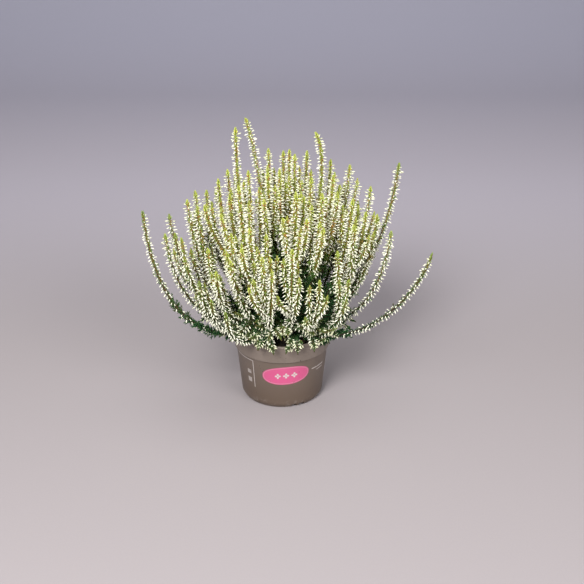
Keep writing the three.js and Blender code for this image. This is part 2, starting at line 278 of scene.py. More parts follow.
def colour(name, description, rgb):
    return FloatVectorProperty(
        name=name, description=description, default=rgb, subtype="COLOR", size=3, min=0, max=1
    )


class StemSettings(bpy.types.PropertyGroup):
    """Sizes and colours of the stems, leaves and buds."""

    stem_radius: length("Stem radius", "Radius of a stem where it leaves the peat", 1.3)
    tip_radius: length("Tip radius", "Radius of a stem under its growing tip", 0.55)
    bud_length: length("Bud length", "Length of a full-grown closed bud", 5.6)
    bud_width: length("Bud width", "Thickness of a full-grown closed bud", 1.56)
    bud_gap: length("Bud gap", "Distance along a stem from one pair of buds to the next", 1.95)
    leaf_length: length("Leaf length", "Length of a scale leaf", 3.7)
    leaf_width: length("Leaf width", "Width of a scale leaf", 1.55)
    leaf_gap: length("Leaf gap", "Distance along a stem from one pair of scale leaves to the next", 1.3)
    tip_length: length("Tip length", "Length of the growing tip above the last buds", 6.5)
    twig_gap: length("Twig gap", "Distance along a stem from one leafy twig to the next", 2.2)
    shoot_length: length("Side shoot length", "Mean length of a side shoot at the foot of a stem", 32)
    bark_old: colour("Old bark", "Bark at the foot of a stem", (0.035, 0.021, 0.013))
    bark_middle: colour("Ripe bark", "Bark half-way up a stem", (0.3, 0.145, 0.045))
    bark_new: colour("New bark", "Bark near the growing tip", (0.45, 0.36, 0.09))
    leaf_old: colour("Old leaf", "Leaves low on the plant", (0.011, 0.06, 0.016))
    leaf_middle: colour("Ripe leaf", "Leaves half-way up", (0.18, 0.27, 0.045))
    leaf_new: colour("New leaf", "Leaves at the growing tips", (0.41, 0.46, 0.075))
    leaf_warm: colour("Warm leaf", "Leaves that turn in the sun", (0.45, 0.2, 0.05))
    bud_white: colour("Bud white", "Closed sepals of a full-grown bud", (0.8, 0.79, 0.64))
    bud_young: colour("Young bud", "Buds close to the growing tip", (0.74, 0.75, 0.5))
    bud_green: colour("Bud green", "Foot of a bud", (0.42, 0.48, 0.14))


class PotSettings(bpy.types.PropertyGroup):
    """Colours of the pot and its print, and how finely it is turned."""

    turn_steps: IntProperty(
        name="Turn steps", description="Steps in one turn of the pot's outline", default=120, min=12
    )
    plastic: colour("Plastic", "The pot's plastic", (0.175, 0.14, 0.116))
    label_width: length("Label width", "Width of the printed label, round the pot", 55)
    label_height: length("Label height", "Height of the printed label", 24)
    label_middle: length("Label middle", "Height of the label's middle above the floor", 46)
    label_shift: length("Label shift", "How far right of the front the label's middle lies", 5)
    label_pink: colour("Label pink", "Ground of the printed label", (0.56, 0.085, 0.21))
    print_pale: colour("Pale print", "Pale ink of the label's edge, blossoms and lines", (0.55, 0.5, 0.47))


class PeatSettings(bpy.types.PropertyGroup):
    """Roughness and colours of the peat."""

    bump: length("Bump", "Height of the peat's lumps", 1.6)
    crumbs: IntProperty(name="Crumbs", description="Loose crumbs on the peat", default=260, min=0)
    dark: colour("Dark peat", "Damp peat", (0.012, 0.008, 0.006))
    light: colour("Light peat", "Dry fibres in the peat", (0.08, 0.05, 0.03))


class StageSettings(bpy.types.PropertyGroup):
    """Floor, backdrop, lights and camera."""

    lens: FloatProperty(name="Lens", description="Focal length of the camera in millimetres", default=65)
    distance: length("Distance", "From the plant's axis back to the camera", 1108)
    height: length("Height", "Height of the camera above the floor", 645)
    offset: length("Offset", "Sideways place of the camera", 11.8)
    pitch: FloatProperty(
        name="Pitch", description="How far the camera looks down", default=math.radians(25), subtype="ANGLE"
    )
    # The floor colours paint light and shade: darker near the pot, lighter behind it.
    floor: colour("Floor", "Colour of the floor near the pot", (0.33, 0.295, 0.3))
    floor_back: colour("Floor behind", "Colour of the floor behind the pot", (0.46, 0.425, 0.475))
    backdrop: colour("Backdrop", "Colour of the backdrop high up", (0.45, 0.44, 0.53))


# Where the stems grow


def is_spray(stem):
    return stem.tip[2] < SPRAY_HEIGHT


def peat_top(x, y):
    wall = mix(STEP_RADIUS, COLLAR_RADIUS, (PEAT_EDGE - STEP_Z) / COLLAR_HEIGHT) - WALL
    return PEAT_EDGE + PEAT_CROWN * (1 - math.hypot(x, y) / wall)


def root_places():
    """Roots lie under their tips, drawn in to the middle, then pushed apart until each has its own place."""
    places = []
    for stem in STEMS:
        share = SPRAY_ROOT_SHARE if is_spray(stem) else ROOT_SHARE
        place = Vector(stem.root) if stem.root else Vector(stem.tip[:2]) * share
        places.append(within_limit(place))
    for _ in range(200):
        for i in range(len(places)):
            for j in range(i + 1, len(places)):
                apart = places[j] - places[i]
                distance = max(apart.length, 1e-6)
                if distance >= ROOT_SPACING:
                    continue
                push = apart * ((ROOT_SPACING - distance) / distance / 2)
                places[i] = places[i] - push
                places[j] = places[j] + push
        places = [within_limit(place) for place in places]
    return places


def within_limit(place):
    return place * min(1, ROOT_LIMIT / max(place.length, 1e-6))


def main_controls(stem, root):
    """The four control points of a stem's curve."""
    tip = Vector(stem.tip)
    start = Vector((root.x, root.y, UPRIGHT_TO))
    if stem.via:
        return [start, *(Vector(place) for place in stem.via), tip]
    way = tip - start
    flat = Vector((way.x, way.y, 0))
    up = Vector((0, 0, way.z))
    first = start + flat * mix(0.2, 0.62, stem.run) + up * mix(0.36, 0.02, stem.run)
    second = tip - flat * mix(0.2, 0.06, stem.run) - up * mix(0.4, 0.72, stem.run)
    return [start, first, second, tip]


def fork_controls(stem, main):
    """The four control points of a fork, which leaves its stem the way the stem runs there."""
    fork_place = main.place(main.length * FORK_AT)
    start = fork_place.translation / MM
    along = fork_place.col[2].to_3d()
    tip = Vector(stem.fork)
    reach = (tip - start).length
    first = start + along * reach * 0.3
    second = tip - (tip - start) * 0.1 - Vector((0, 0, reach * 0.3))
    return [start, first, second, tip]


class Path:
    """A growth curve in metres, with a place for anything that sits along it."""

    STEPS = 160

    def __init__(self, controls):
        self.points = interpolate_bezier(*(place * MM for place in controls), self.STEPS)
        self.reached = [0.0]
        for a, b in zip(self.points, self.points[1:]):
            self.reached.append(self.reached[-1] + (b - a).length)
        self.length = self.reached[-1]
        self.alongs = [(b - a).normalized() for a, b in zip(self.points, self.points[1:])]
        self.alongs.append(self.alongs[-1])
        normal = Vector((0, 1, 0))
        self.normals = []
        for i, along in enumerate(self.alongs):
            if i:
                normal = self.alongs[i - 1].rotation_difference(along) @ normal
            normal = (normal - along * normal.dot(along)).normalized()
            self.normals.append(normal.copy())

    def place(self, distance):
        """A matrix at a distance along the curve, with Z along it."""
        i = int(np.searchsorted(self.reached, distance)) - 1
        i = min(max(i, 0), len(self.points) - 2)
        share = (distance - self.reached[i]) / max(self.reached[i + 1] - self.reached[i], 1e-9)
        spot = self.points[i].lerp(self.points[i + 1], share)
        along = self.alongs[i]
        normal = self.normals[i]
        side = along.cross(normal)
        matrix = Matrix((normal, side, along)).transposed().to_4x4()
        matrix.translation = spot
        return matrix


# Small shapes that are repeated. Each carries its growth: red the age (0 old, 1 new), which for leaves and twigs
# is also lowered in the plant's shaded middle as painted shade, green a tint that is drawn for each copy, blue how
# far along the shape a corner is.

GROWTH = "growth"


class Shape:
    """A small mesh that is stamped many times into a bigger one."""

    def __init__(self, name, bm, material_index, along=None):
        for face in bm.faces:
            face.material_index = material_index
            face.smooth = True
        self.length = max(vertex.co.z for vertex in bm.verts)
        self.mesh = take_mesh(name, bm)
        if along is not None:
            values = np.ones((len(self.mesh.vertices), 4), np.float32)
            values[:, 2] = [along(vertex.co) for vertex in self.mesh.vertices]
            layer = self.mesh.attributes.new(GROWTH, "FLOAT_COLOR", "POINT")
            layer.data.foreach_set("color", values.ravel())

    def stamp(self, bm, matrix, age, tint):
        """Adds a copy to a bigger bmesh, with its own age and tint."""
        copy = self.mesh.copy()
        layer = copy.attributes[GROWTH]
        values = np.empty(len(copy.vertices) * 4, np.float32)
        layer.data.foreach_get("color", values)
        values[0::4] = age
        values[1::4] = tint
        layer.data.foreach_set("color", values)
        copy.transform(matrix)
        bm.from_mesh(copy)
        bpy.data.meshes.remove(copy)


BARK, LEAF, BUD = range(3)


def make_leaf(settings):
    """A scale leaf along Z: a three-edged spindle, widest near its foot."""
    bm = bmesh.new()
    bmesh.ops.create_uvsphere(bm, u_segments=3, v_segments=2, radius=0.5)
    bmesh.ops.translate(bm, vec=(0, 0, 0.5), verts=bm.verts)
    for vertex in bm.verts:
        if 0.1 < vertex.co.z < 0.9:
            vertex.co.z = 0.36
    size = (settings.leaf_width * 0.8, settings.leaf_width * 1.15, settings.leaf_length)
    bmesh.ops.scale(bm, vec=size, verts=bm.verts)
    return Shape("leaf", bm, LEAF, lambda co: co.z / settings.leaf_length)


def make_bud(settings, fullness):
    """A closed bud along Z: its sepals folded to a point, on a narrow foot."""
    bm = bmesh.new()
    bmesh.ops.create_uvsphere(bm, u_segments=6, v_segments=3, radius=0.58)
    bmesh.ops.translate(bm, vec=(0, 0, 0.58), verts=bm.verts)
    bmesh.ops.scale(bm, vec=(1, 1, 1 / 1.16), verts=bm.verts)
    for vertex in bm.verts:
        angle = math.atan2(vertex.co.y, vertex.co.x)
        fold = (0.92 + 0.1 * math.cos(3 * angle)) * fullness
        if 0.1 < vertex.co.z < 0.5:
            vertex.co.z = 0.3
            fold *= 0.86
        elif 0.5 < vertex.co.z < 0.9:
            vertex.co.z = 0.66
        vertex.co.x *= fold
        vertex.co.y *= fold
    size = (settings.bud_width, settings.bud_width, settings.bud_length)
    bmesh.ops.scale(bm, vec=size, verts=bm.verts)
    return Shape("bud", bm, BUD, lambda co: co.z / settings.bud_length)


def make_twig(settings, leaf, pairs, random_source):
    """A short side twig along Z, thick with leaves."""
    bm = bmesh.new()
    gap = settings.leaf_length * 0.42
    for pair in range(pairs):
        share = pair / pairs
        for side in (0, 1):
            turn = side * math.pi + pair * math.pi / 2 + random_source.uniform(-0.3, 0.3)
            tilt = mix(1.05, 0.35, share) + random_source.uniform(-0.15, 0.15)
            matrix = Matrix.Translation((0, 0, pair * gap)) @ Matrix.Rotation(turn, 4, "Z")
            matrix = matrix @ Matrix.Rotation(tilt, 4, "Y") @ Matrix.Scale(mix(1.05, 0.75, share), 4)
            leaf.stamp(bm, matrix, 1, random_source.random())
    return Shape("twig", bm, LEAF)


# Stems


def light_at(place):
    """0 in the plant's shaded middle, 1 out where its stems flower."""
    rows = zip(place, SHADE_MIDDLE, SHADE_SIZE)
    away = Vector((value / MM - middle) / size for value, middle, size in rows)
    return clamp01((away.length - SHADE_FROM) / SHADE_FADE)


def has_room(place):
    """Whether a place is out of the pot's wall, above the peat and within the frame's box."""
    if any(not low + ROOM < value < high - ROOM for value, low, high in zip(place, *FRAME_BOX)):
        return False
    radius = math.hypot(place.x, place.y) / MM
    height = place.z / MM
    if height > POT_HEIGHT + 0.6 or (radius > LIP_RADIUS + 1 and height > 70):
        return True
    return radius < INNER_LIP_RADIUS - 2 and height > PEAT_EDGE + 2


def grow_bark(bm, path, foot_radius, tip_radius, foot, age_and_shade_at):
    """A thin tapering tube from the foot of a stem to its tip."""
    steps = max(8, int(path.length / (7 * MM)))
    ring = bmesh.ops.create_circle(bm, segments=6, radius=1, cap_ends=True)["verts"]
    edges = list({edge for vertex in ring for edge in vertex.link_edges})
    growth = bm.verts.layers.float_color[GROWTH]
    places = []
    if foot is not None:
        places.append((Matrix.Translation(foot), foot_radius, 0.0))
    for step in range(steps + 1):
        share = step / steps
        radius = mix(foot_radius, tip_radius, share**TAPER)
        distance = path.length * 0.985 * share
        places.append((path.place(distance), radius, age_and_shade_at(distance)))
    last, last_radius, age = places[0]
    for vertex in ring:
        vertex.co = last @ (vertex.co * last_radius)
        vertex[growth] = (age, 0.5, 0, 1)
    for place, radius, age in places[1:]:
        grown = bmesh.ops.extrude_edge_only(bm, edges=edges)["geom"]
        new_verts = only(grown, bmesh.types.BMVert)
        edges = [edge for edge in only(grown, bmesh.types.BMEdge) if all(end in new_verts for end in edge.verts)]
        move = place @ Matrix.Scale(radius / last_radius, 4) @ last.inverted()
        for vertex in new_verts:
            vertex.co = move @ vertex.co
            vertex[growth] = (age, 0.5, 0, 1)
        last, last_radius = place, radius
    bmesh.ops.contextual_create(bm, geom=edges)


class Plant(NamedTuple):
    """What all shoots of one stem share."""

    bm: bmesh.types.BMesh
    kit: dict
    settings: bpy.types.PropertyGroup
    random: random.Random
    youth: float


class Grower:
    """Sets leaves, twigs, buds and a growing tip out along one growth curve."""

    def __init__(self, plant, path, leafy, foot_radius=None, bushy=1.0):
        self.bm, self.kit, self.settings, self.random, self.youth = plant
        self.bushy = bushy
        self.tip_size = THIN_TIP if foot_radius else 1.0
        self.foot_radius = foot_radius or self.settings.stem_radius
        self.path = path
        self.tip_start = path.length - self.settings.tip_length
        self.leafy_to = path.length * leafy
        self.turn = self.random.uniform(0, math.tau)

    def age_and_shade_at(self, distance):
        spot = self.path.place(distance).translation
        height = clamp01((spot.z / MM - NEW_FROM) / NEW_RISE)
        near_tip = clamp01(1 - (self.path.length - distance) / (NEW_REACH * MM)) * mix(0.12, 0.32, height)
        # Real age by height and nearness to the tip, then painted shade: the age drops in the plant's shaded
        # middle, so leaves, twigs and bark there take their darker old colours.
        return clamp01((0.75 * height + near_tip) * self.youth) * mix(0.2, 1, light_at(spot))

    def set_out(self, shape, distance, angle, tilt, size, reach=0.0, age=None, tint_from=0.0):
        """Stamps one shape at a distance, turned about the stem and tilted away from it."""
        turned = self.path.place(distance) @ Matrix.Rotation(angle, 4, "Z")
        matrix = turned @ Matrix.Translation((reach, 0, 0)) @ Matrix.Rotation(tilt, 4, "Y") @ Matrix.Scale(size, 4)
        if has_room(matrix.translation) and has_room(matrix @ Vector((0, 0, shape.length))):
            tint = self.random.uniform(tint_from, 1)
            shape.stamp(self.bm, matrix, self.age_and_shade_at(distance) if age is None else age, tint)

    def rank_angle(self, rank, side, spread):
        return self.turn + rank * math.pi / 2 + side * math.pi + self.random.uniform(-spread, spread)

    def radius_at(self, distance):
        return mix(self.foot_radius, self.settings.tip_radius, (distance / self.path.length) ** TAPER)

    def grow_leaves(self):
        """Scale leaves in four ranks, lying closer to the stem the higher they sit."""
        distance = 3 * MM
        rank = 0
        while distance < self.tip_start:
            share = distance / self.path.length
            for side in (0, 1):
                tilt = mix(1.0, 0.6, share) + self.random.uniform(-0.25, 0.25)
                size = self.random.uniform(0.85, 1.15)
                reach = self.radius_at(distance) * 0.9
                self.set_out(self.kit["leaf"], distance, self.rank_angle(rank, side, 0.25), tilt, size, reach)
            rank += 1
            distance += self.settings.leaf_gap

    def grow_twigs(self):
        """Leafy twigs low down, thinning out where the buds begin."""
        distance = 4 * MM
        while distance < self.tip_start - 14 * MM:
            angle = self.random.uniform(0, math.tau)
            tilt = self.random.uniform(0.55, 1.05)
            shade = 1 - light_at(self.path.place(distance).translation)
            size = mix(1.1, 0.6, distance / self.tip_start) * self.random.uniform(0.8, 1.1)
            size *= 1 + shade * 0.35
            if distance < self.leafy_to:
                size *= 1 + (1 - self.bushy) * mix(0.7, 0.2, distance / self.leafy_to)
            self.set_out(self.random.choice(self.kit["twigs"]), distance, angle, tilt, size, 0.3 * MM)
            sparse = mix(2, 4, distance / self.tip_start)
            if distance < self.leafy_to:
                sparse = mix(0.55, 1, self.bushy)
            elif shade > 0.5:
                sparse = 1.4
            distance += self.settings.twig_gap * self.random.uniform(0.7, 1.3) * sparse

    def grow_buds(self):
        """Buds in opposite pairs, each pair turned a quarter from the last, and few of them among the leaves."""
        distance = self.leafy_to * mix(0.45, 1, self.bushy)
        rank = 0
        end = self.tip_start + 1.6 * MM
        while distance < end:
            grown = clamp01(0.45 + (end - distance) / (9 * MM))
            age = clamp01(1.3 - (end - distance) / (16 * MM))
            light = mix(0.1, 1, light_at(self.path.place(distance).translation))
            chance = light * (mix(0.6, 0.35, self.bushy) if distance < self.leafy_to else 1)
            for side in (0, 1):
                along = distance + self.random.uniform(-0.7, 0.7) * MM
                size = grown * self.random.uniform(0.78, 1.06) * mix(0.9, 1, self.bushy)
                if self.random.random() < chance:
                    self.hang_bud(along, self.rank_angle(rank, side, 0.5), size, 1 - grown, age)
            rank += 1
            high = clamp01((self.path.place(distance).translation.z / MM - 120) / 100)
            distance += self.settings.bud_gap * mix(1.15, 0.82, high) * self.random.uniform(0.85, 1.15)

    def hang_bud(self, distance, angle, size, upward, age):
        """One bud stands out from the stem, and hangs more the lower it sits."""
        place = self.path.place(distance)
        out = (place @ Matrix.Rotation(angle, 4, "Z")).col[0].to_3d()
        droop = mix(0.95, 0.12, clamp01((place.translation.z / MM - HANG_TO) / HANG_RISE))
        scatter = Vector(self.random.uniform(-0.28, 0.28) for _ in range(3))
        way = out + place.col[2].to_3d() * (0.12 + upward * 1.2) - Vector((0, 0, droop)) + scatter
        turned = way.to_track_quat("Z", "Y").to_matrix().to_4x4() @ Matrix.Scale(size, 4)
        matrix = Matrix.Translation(place.translation + out * BUD_STALK * MM * size) @ turned
        bud = self.random.choice(self.kit["buds"])
        if has_room(matrix.translation) and has_room(matrix @ Vector((0, 0, bud.length))):
            bud.stamp(self.bm, matrix, age, self.random.random())

    def grow_tip(self):
        """A blunt cone of leaves pressed upwards."""
        distance = self.tip_start - 2 * MM
        rank = 0
        end = self.path.length - self.settings.leaf_length * 0.62
        while distance < end:
            share = clamp01((distance - self.tip_start) / (end - self.tip_start))
            for side in (0, 1):
                tilt = mix(0.55, 0.22, share) + self.random.uniform(-0.08, 0.08)
                angle = self.rank_angle(rank, side, 0.2)
                size = mix(0.98, 0.7, share) * self.tip_size
                reach = mix(0.62, 0.3, share) * MM * self.tip_size
                age = clamp01(self.age_and_shade_at(distance) * mix(1, 1.15, share))
                self.set_out(self.kit["leaf"], distance, angle, tilt, size, reach, age, 0.4)
            rank += 1
            distance += 0.75 * MM

    def grow(self, foot=None):
        grow_bark(self.bm, self.path, self.foot_radius, self.settings.tip_radius, foot, self.age_and_shade_at)
        self.grow_leaves()
        self.grow_twigs()
        self.grow_buds()
        self.grow_tip()


def finish_piece(bm, name, nodes, materials):
    """A bmesh becomes a piece at the origin that rides on the root and stands for its nodes."""
    piece = add_object(name, take_mesh(name, bm))
    for material in materials:
        piece.data.materials.append(material)
    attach(piece, "root")
    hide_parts(*nodes)
    return piece


def side_shoot_controls(start, root, length_now, random_source):
    """A side shoot bows outward from a stem's foot, and hangs or turns up at its end."""
    bearing = math.atan2(root.y, root.x) + random_source.uniform(-0.95, 0.95)
    out = Vector((math.cos(bearing), math.sin(bearing), 0)) * length_now
    up = Vector((0, 0, length_now))
    lift = random_source.choice((-0.1, 0.08, 0.3, 0.6))
    first = start + out * 0.3 + up * 0.3
    second = start + out * 0.72 + up * (0.2 + lift * 0.4)
    return [start, first, second, start + out * mix(1, 0.8, lift) + up * lift]


def grow_side_shoots(plant, main, root):
    """Side shoots at the foot of a stem, more of them where there is light at the plant's edge."""
    count = 3 if root.length > SHADED_RADIUS else 1
    if root.y < FRONT and abs(root.x) < SHADED_RADIUS:
        count += 1
    for _ in range(count):
        start = main.place(plant.random.uniform(2, 20) * MM).translation / MM
        length_now = plant.settings.shoot_length / MM * plant.random.uniform(0.75, 1.2)
        shoot = Path(side_shoot_controls(start, root, length_now, plant.random))
        Grower(plant, shoot, 0.4, plant.settings.stem_radius * THIN).grow()


def side_spike_controls(main, start_at, length_now, bearing):
    """A side spike leaves its stem half-way up and runs beside it."""
    start_place = main.place(start_at)
    start = start_place.translation / MM
    along = start_place.col[2].to_3d()
    end_place = main.place(start_at + length_now * MM)
    end_along = end_place.col[2].to_3d()
    aside = Vector((math.cos(bearing), math.sin(bearing), 0))
    aside = (aside - along * aside.dot(along)).normalized()
    end = end_place.translation / MM + aside * SPIKE_GAP
    first = start + along * length_now * 0.25 + aside * SPIKE_GAP * 0.6
    return [start, first, end - end_along * length_now * 0.35, end]


def grow_side_spikes(plant, main, root):
    """Shorter flowering spikes that branch off half-way up and thicken the plant."""
    turn = plant.random.uniform(-2.6, 0)
    for low, high in SPIKE_STARTS:
        start_at = main.length * plant.random.uniform(low, high)
        left = (main.length - start_at) / MM
        length_now = left * plant.random.uniform(0.6, 0.9)
        turn += plant.random.uniform(1.2, 2.6)
        bearing = math.atan2(root.y, root.x) + turn
        spike = Path(side_spike_controls(main, start_at, length_now, bearing))
        if spike.points[-1].z >= SPIKE_LOWEST * MM:
            Grower(plant, spike, 0.06, plant.settings.stem_radius * THIN).grow()


def leafy_share(stem):
    """Share of a stem's length that is leafy and without buds."""
    if stem.leafy:
        return stem.leafy
    if is_spray(stem):
        return 0.4
    return 0.16 if stem.tip[1] < FRONT else 0.34


def build_stems(settings, wanted, prefix):
    """Grows the wanted stems, each as a piece of its own that stands for its solid."""
    random_source = random.Random(7)
    leaf = make_leaf(settings)
    kit = {
        "leaf": leaf,
        "buds": [make_bud(settings, fullness) for fullness in (0.9, 1.0, 1.1)],
        "twigs": [make_twig(settings, leaf, pairs, random_source) for pairs in (3, 4, 5)],
    }
    materials = [bark_material(settings), leaf_material(settings), bud_material(settings)]
    for index, (stem, root) in enumerate(zip(STEMS, root_places()), 1):
        if not wanted(stem):
            continue
        random_source = random.Random(index)
        bm = bmesh.new()
        bm.verts.layers.float_color.new(GROWTH)
        main = Path(main_controls(stem, root))
        tip_radius = math.hypot(*stem.tip[:2])
        youth = mix(1.1, 0.45, clamp01((tip_radius - 70) / 80)) * random_source.uniform(0.88, 1.08)
        plant = Plant(bm, kit, settings, random_source, youth)
        leafy = leafy_share(stem)
        foot = Vector((root.x, root.y, peat_top(root.x, root.y) - 6)) * MM
        Grower(plant, main, leafy, bushy=0.0 if stem.leafy else 1.0).grow(foot)
        if stem.fork:
            fork = Path(fork_controls(stem, main))
            Grower(plant, fork, max(0.04, (leafy - FORK_AT) / (1 - FORK_AT))).grow()
        if not is_spray(stem) and not stem.via and tip_radius < SPIKE_LIMIT:
            grow_side_spikes(plant, main, root)
        grow_side_shoots(plant, main, root)
        finish_piece(bm, f"{prefix}_{index:02d}", [f"shoot_{index:02d}"], materials)


# Materials


class Nodes:
    """Adds nodes to a tree and joins them, so a material reads as a short list of steps."""

    def __init__(self, tree):
        self.tree = tree

    def add(self, kind, **values):
        node = self.tree.nodes.new(kind)
        for name, value in values.items():
            setattr(node, name, value)
        return node

    def feed(self, socket, value):
        """Joins a socket to another, or sets its number or colour."""
        if isinstance(value, bpy.types.NodeSocket):
            self.tree.links.new(value, socket)
        elif hasattr(value, "__len__"):
            socket.default_value = (*value, 1.0)[: len(socket.default_value)]
        else:
            socket.default_value = value

    def math(self, operation, a, b=0.0):
        node = self.add("ShaderNodeMath", operation=operation)
        self.feed(node.inputs[0], a)
        self.feed(node.inputs[1], b)
        return node.outputs[0]

    def times(self, a, b):
        return self.math("MULTIPLY", a, b)

    def plus(self, a, b):
        return self.math("ADD", a, b)

    def minus(self, a, b):
        return self.math("SUBTRACT", a, b)

    def most(self, first, *others):
        for other in others:
            first = self.math("MAXIMUM", first, other)
        return first

    def blend(self, share, a, b, mode="MIX"):
        node = self.add("ShaderNodeMix", data_type="RGBA", blend_type=mode)
        self.feed(node.inputs[0], share)
        self.feed(node.inputs[6], a)
        self.feed(node.inputs[7], b)
        return node.outputs[2]

    def span(self, value, low, high, to_low=0.0, to_high=1.0):
        node = self.add("ShaderNodeMapRange", interpolation_type="SMOOTHSTEP")
        self.feed(node.inputs[0], value)
        for socket, number in zip(node.inputs[1:5], (low, high, to_low, to_high)):
            self.feed(socket, number)
        return node.outputs[0]

    def noise(self, vector, scale, detail=3.0, roughness=0.55):
        node = self.add("ShaderNodeTexNoise")
        self.feed(node.inputs["Vector"], vector)
        self.feed(node.inputs["Scale"], scale)
        self.feed(node.inputs["Detail"], detail)
        self.feed(node.inputs["Roughness"], roughness)
        return node.outputs[0]

    def bump(self, height, distance, strength=1.0):
        node = self.add("ShaderNodeBump")
        self.feed(node.inputs["Strength"], strength)
        self.feed(node.inputs["Distance"], distance)
        self.feed(node.inputs["Height"], height)
        return node.outputs[0]

    def place(self):
        return self.add("ShaderNodeTexCoord").outputs["Object"]

    def place_parts(self):
        parts = self.add("ShaderNodeSeparateXYZ")
        self.feed(parts.inputs[0], self.place())
        return parts.outputs


def new_group(name, inputs, values, *colours):
    """A shader group with its inputs and their defaults, its values and colours out, and its two end nodes."""
    group = bpy.data.node_groups.new(name, "ShaderNodeTree")
    for socket_name, default in inputs.items():
        kind = "NodeSocketColor" if isinstance(default, tuple) else "NodeSocketFloat"
        socket = group.interface.new_socket(name=socket_name, in_out="INPUT", socket_type=kind)
        socket.default_value = default
    for names, kind in ((values, "NodeSocketFloat"), (colours, "NodeSocketColor")):
        for socket_name in names:
            group.interface.new_socket(name=socket_name, in_out="OUTPUT", socket_type=kind)
    nodes = Nodes(group)
    return group, nodes, nodes.add("NodeGroupInput"), nodes.add("NodeGroupOutput")


def growth_group():
    """Reads a corner's growth and mixes three colours by its age, a little lighter or darker for each copy."""
    name = "Growth colour"
    if name in bpy.data.node_groups:
        return bpy.data.node_groups[name]
    greys = {"Old": (0, 0, 0, 1), "Middle": (0.5, 0.5, 0.5, 1), "New": (1, 1, 1, 1)}
    group, nodes, start, end = new_group(name, {**greys, "Variation": 0.3}, ["Age", "Tint", "Along"], "Colour")
    growth = nodes.add("ShaderNodeAttribute", attribute_name=GROWTH)
    parts = nodes.add("ShaderNodeSeparateColor")
    nodes.feed(parts.inputs[0], growth.outputs["Color"])
    age, tint, along = parts.outputs
    lower = nodes.blend(nodes.span(age, 0.0, 0.5), start.outputs["Old"], start.outputs["Middle"])
    mixed = nodes.blend(nodes.span(age, 0.45, 1.0), lower, start.outputs["New"])
    light = nodes.plus(nodes.times(nodes.minus(tint, 0.5), start.outputs["Variation"]), 1.0)
    grey = nodes.add("ShaderNodeCombineColor")
    for socket in grey.inputs:
        nodes.feed(socket, light)
    nodes.feed(end.inputs["Colour"], nodes.blend(1.0, mixed, grey.outputs[0], "MULTIPLY"))
    nodes.feed(end.inputs["Age"], age)
    nodes.feed(end.inputs["Tint"], tint)
    nodes.feed(end.inputs["Along"], along)
    return group


def grain_group():
    """Fine mottling at two scales, for bark, plastic and peat."""
    name = "Fine grain"
    if name in bpy.data.node_groups:
        return bpy.data.node_groups[name]
    scales = {"Coarse scale": 60.0, "Fine scale": 900.0}
    group, nodes, start, end = new_group(name, scales, ["Coarse", "Fine"])
    place = nodes.place()
    nodes.feed(end.inputs["Coarse"], nodes.noise(place, start.outputs["Coarse scale"], 4.0))
    nodes.feed(end.inputs["Fine"], nodes.noise(place, start.outputs["Fine scale"], 2.0))
    return group


def use_group(nodes, group, **values):
    """Adds a group, feeds it, and gives its outputs."""
    node = nodes.add("ShaderNodeGroup", node_tree=group)
    for name, value in values.items():
        nodes.feed(node.inputs[name.replace("_", " ")], value)
    return node.outputs


def use_grain(nodes, coarse_scale, fine_scale):
    return use_group(nodes, grain_group(), Coarse_scale=coarse_scale, Fine_scale=fine_scale)


def use_growth(nodes, old, middle, new, variation):
    return use_group(nodes, growth_group(), Old=old, Middle=middle, New=new, Variation=variation)


def new_material(name):
    material = bpy.data.materials.new(name)
    material.use_nodes = True
    return material, Nodes(material.node_tree), material.node_tree.nodes["Principled BSDF"].inputs


def bark_material(settings):
    material, nodes, shader = new_material("heather_bark")
    growth = use_growth(nodes, settings.bark_old, settings.bark_middle, settings.bark_new, 0.2)
    grain = use_grain(nodes, 220.0, 1800.0)
    crevice = (0.03, 0.016, 0.01)
    dark = nodes.span(grain["Coarse"], 0.3, 0.7, 0.0, 0.45)
    green = nodes.times(nodes.span(grain["Coarse"], 0.46, 0.58, 0.9, 0.0), growth["Age"])
    barked = nodes.blend(green, growth["Colour"], settings.leaf_middle)
    nodes.feed(shader["Base Color"], nodes.blend(dark, barked, crevice))
    shader["Roughness"].default_value = 0.75
    shader["Specular IOR Level"].default_value = 0.25
    nodes.feed(shader["Normal"], nodes.bump(grain["Fine"], 0.0002, 0.6))
    return material


def leaf_material(settings):
    material, nodes, shader = new_material("heather_leaf")
    growth = use_growth(nodes, settings.leaf_old, settings.leaf_middle, settings.leaf_new, 0.6)
    grain = use_grain(nodes, 90.0, 2200.0)
    pale_end = (0.42, 0.46, 0.16)
    turned = nodes.times(nodes.span(growth["Tint"], 0.3, 0.36, 1.0, 0.0), growth["Age"])
    turned = nodes.times(turned, nodes.span(grain["Coarse"], 0.3, 0.5))
    colour_now = nodes.blend(turned, growth["Colour"], settings.leaf_warm)
    pale = nodes.span(growth["Along"], 0.6, 1.0, 0.0, 0.25)
    nodes.feed(shader["Base Color"], nodes.blend(pale, colour_now, pale_end))
    nodes.feed(shader["Roughness"], nodes.span(growth["Tint"], 0.0, 1.0, 0.5, 0.7))
    shader["Specular IOR Level"].default_value = 0.2
    nodes.feed(shader["Normal"], nodes.bump(grain["Fine"], 0.0001, 0.4))
    return material


def bud_material(settings):
    material, nodes, shader = new_material("heather_bud")
    growth = use_growth(nodes, settings.bud_white, settings.bud_white, settings.bud_young, 0.14)
    grain = use_grain(nodes, 150.0, 2400.0)
    foot = nodes.span(growth["Along"], 0.04, 0.3, 1.0, 0.0)
    nodes.feed(shader["Base Color"], nodes.blend(foot, growth["Colour"], settings.bud_green))
    nodes.feed(shader["Roughness"], nodes.span(growth["Tint"], 0.0, 1.0, 0.45, 0.6))
    shader["Specular IOR Level"].default_value = 0.3
    nodes.feed(shader["Normal"], nodes.bump(grain["Fine"], 0.0001, 0.3))
    return material


